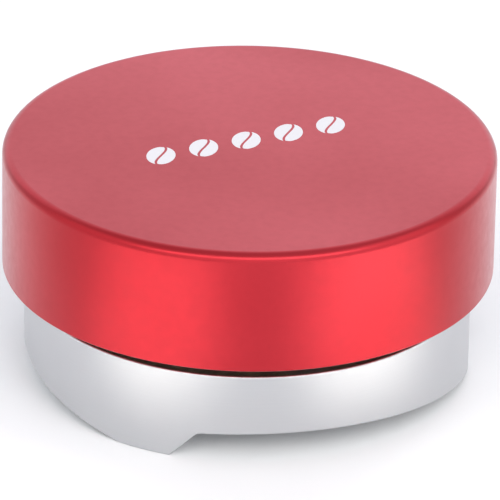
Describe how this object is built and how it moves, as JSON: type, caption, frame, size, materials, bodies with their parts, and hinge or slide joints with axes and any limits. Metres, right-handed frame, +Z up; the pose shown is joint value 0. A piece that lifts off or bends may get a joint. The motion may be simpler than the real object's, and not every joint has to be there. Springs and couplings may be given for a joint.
{
  "type": "espresso distributor",
  "caption": "Palm-held espresso distributor: a three-bladed steel base on a screw thread under a broad round cap that turns to set the depth.",
  "frame": {"origin": "on the axis, in the plane of the flat blade lands that the tool stands on", "axes": "+Z up along the axis, from the blades to the cap; -Y is the front"},
  "size_m": [0.0636, 0.0636, 0.0307],
  "materials": {
    "base_steel": "fine turned satin",
    "post_steel": "machined",
    "screw_steel": "plain stainless",
    "ring_rubber": "matte",
    "ring_brass": "machined",
    "cap_anodised": "bead-blasted and red anodised, satin",
    "print_white": "printed ink"
  },
  "bodies": {
    "base": {"blade_base": "base_steel", "thread_post": "post_steel", "post_screws": "screw_steel", "stop_ring": "ring_rubber"},
    "drag_ring": {"friction_ring": "ring_rubber"},
    "cap": {"cap_shell": "cap_anodised", "thread_ring": "ring_brass", "ring_screws": "screw_steel"}
  },
  "joints": [
    {"name": "cap_turn", "type": "hinge", "parent": "base", "child": "drag_ring", "pos_m": [0, 0, 0], "axis": [0, 0, 1], "range_deg": [-480, 720]},
    {"name": "depth_slide", "type": "slide", "parent": "drag_ring", "child": "cap", "axis": [0, 0, 1], "range_m": [-0.002, 0.003]}
  ],
  "couplings": [
    {"joint": "depth_slide", "follows": "cap_turn", "m_per_rad": 0.00023873}
  ]
}
